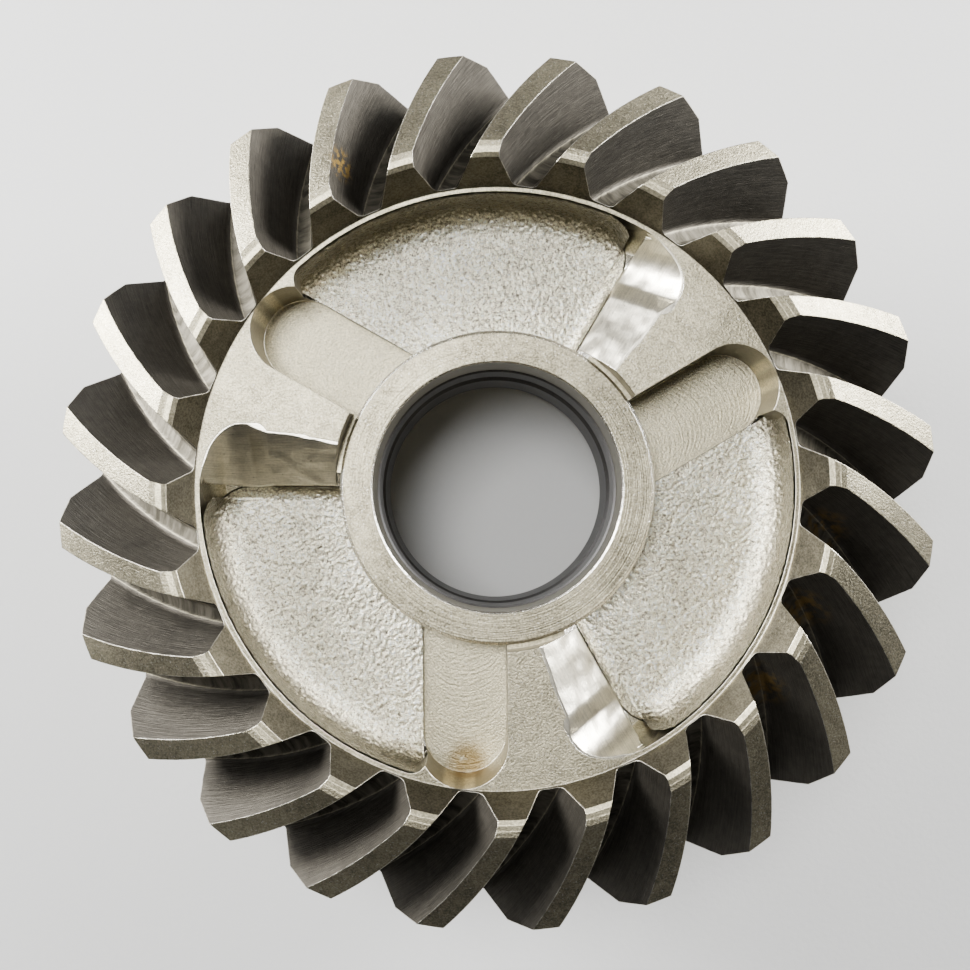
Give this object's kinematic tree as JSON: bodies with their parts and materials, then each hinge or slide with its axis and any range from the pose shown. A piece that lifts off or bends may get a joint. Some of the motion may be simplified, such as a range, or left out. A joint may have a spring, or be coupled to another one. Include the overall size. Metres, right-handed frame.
{
  "type": "spiral bevel gear",
  "caption": "Spiral bevel gear with clutch-dog lugs on its inner face, bushed for a shaft and carried by a deep-groove ball bearing on its rear hub.",
  "frame": {"origin": "on the bore's axis, at the rear face that the hub and the bearing share, where the part rests", "axes": "+Z along the bore, from the rear face towards the toothed face; X and Y across it, with one clutch slot pointing along -Y"},
  "size_m": [0.101, 0.101, 0.0329],
  "materials": {
    "gear_steel": "machined and shot-blasted alloy steel",
    "bush_lining": "dark grey low-friction lining on a steel back",
    "shim_steel": "rolled steel shim",
    "race_steel": "ground bearing steel",
    "ball_steel": "polished bearing steel",
    "cage_steel": "pressed sheet steel",
    "rivet_steel": "mild steel"
  },
  "bodies": {
    "outer_race": {"bearing_outer_race": "race_steel"},
    "gear": {"bevel_gear": "gear_steel", "front_bush": "bush_lining", "rear_bush": "bush_lining", "backlash_shim": "shim_steel", "bearing_inner_race": "race_steel"},
    "cage": {"cage_front_half": "cage_steel", "cage_rear_half": "cage_steel", "cage_rivets": "rivet_steel"},
    "ball_01": {"bearing_ball_01": "ball_steel"},
    "ball_02": {"bearing_ball_02": "ball_steel"},
    "ball_03": {"bearing_ball_03": "ball_steel"},
    "ball_04": {"bearing_ball_04": "ball_steel"},
    "ball_05": {"bearing_ball_05": "ball_steel"},
    "ball_06": {"bearing_ball_06": "ball_steel"},
    "ball_07": {"bearing_ball_07": "ball_steel"},
    "ball_08": {"bearing_ball_08": "ball_steel"},
    "ball_09": {"bearing_ball_09": "ball_steel"},
    "ball_10": {"bearing_ball_10": "ball_steel"},
    "ball_11": {"bearing_ball_11": "ball_steel"},
    "ball_12": {"bearing_ball_12": "ball_steel"}
  },
  "joints": [
    {"name": "gear_spin", "type": "hinge", "parent": "outer_race", "child": "gear", "pos_m": [0, 0, 0.0075], "axis": [0, 0, 1], "continuous": true},
    {"name": "cage_spin", "type": "hinge", "parent": "outer_race", "child": "cage", "pos_m": [0, 0, 0.0075], "axis": [0, 0, 1], "continuous": true},
    {"name": "ball_01_roll", "type": "hinge", "parent": "cage", "child": "ball_01", "pos_m": [0.027, 0, 0.0075], "axis": [0, 0, 1], "continuous": true},
    {"name": "ball_02_roll", "type": "hinge", "parent": "cage", "child": "ball_02", "pos_m": [0.02338, 0.0135, 0.0075], "axis": [0, 0, 1], "continuous": true},
    {"name": "ball_03_roll", "type": "hinge", "parent": "cage", "child": "ball_03", "pos_m": [0.0135, 0.02338, 0.0075], "axis": [0, 0, 1], "continuous": true},
    {"name": "ball_04_roll", "type": "hinge", "parent": "cage", "child": "ball_04", "pos_m": [0, 0.027, 0.0075], "axis": [0, 0, 1], "continuous": true},
    {"name": "ball_05_roll", "type": "hinge", "parent": "cage", "child": "ball_05", "pos_m": [-0.0135, 0.02338, 0.0075], "axis": [0, 0, 1], "continuous": true},
    {"name": "ball_06_roll", "type": "hinge", "parent": "cage", "child": "ball_06", "pos_m": [-0.02338, 0.0135, 0.0075], "axis": [0, 0, 1], "continuous": true},
    {"name": "ball_07_roll", "type": "hinge", "parent": "cage", "child": "ball_07", "pos_m": [-0.027, 0, 0.0075], "axis": [0, 0, 1], "continuous": true},
    {"name": "ball_08_roll", "type": "hinge", "parent": "cage", "child": "ball_08", "pos_m": [-0.02338, -0.0135, 0.0075], "axis": [0, 0, 1], "continuous": true},
    {"name": "ball_09_roll", "type": "hinge", "parent": "cage", "child": "ball_09", "pos_m": [-0.0135, -0.02338, 0.0075], "axis": [0, 0, 1], "continuous": true},
    {"name": "ball_10_roll", "type": "hinge", "parent": "cage", "child": "ball_10", "pos_m": [0, -0.027, 0.0075], "axis": [0, 0, 1], "continuous": true},
    {"name": "ball_11_roll", "type": "hinge", "parent": "cage", "child": "ball_11", "pos_m": [0.0135, -0.02338, 0.0075], "axis": [0, 0, 1], "continuous": true},
    {"name": "ball_12_roll", "type": "hinge", "parent": "cage", "child": "ball_12", "pos_m": [0.02338, -0.0135, 0.0075], "axis": [0, 0, 1], "continuous": true}
  ],
  "couplings": [
    {"joint": "cage_spin", "follows": "gear_spin", "ratio": 0.4265},
    {"joint": "ball_01_roll", "follows": "gear_spin", "ratio": -3.3279},
    {"joint": "ball_02_roll", "follows": "gear_spin", "ratio": -3.3279},
    {"joint": "ball_03_roll", "follows": "gear_spin", "ratio": -3.3279},
    {"joint": "ball_04_roll", "follows": "gear_spin", "ratio": -3.3279},
    {"joint": "ball_05_roll", "follows": "gear_spin", "ratio": -3.3279},
    {"joint": "ball_06_roll", "follows": "gear_spin", "ratio": -3.3279},
    {"joint": "ball_07_roll", "follows": "gear_spin", "ratio": -3.3279},
    {"joint": "ball_08_roll", "follows": "gear_spin", "ratio": -3.3279},
    {"joint": "ball_09_roll", "follows": "gear_spin", "ratio": -3.3279},
    {"joint": "ball_10_roll", "follows": "gear_spin", "ratio": -3.3279},
    {"joint": "ball_11_roll", "follows": "gear_spin", "ratio": -3.3279},
    {"joint": "ball_12_roll", "follows": "gear_spin", "ratio": -3.3279}
  ]
}
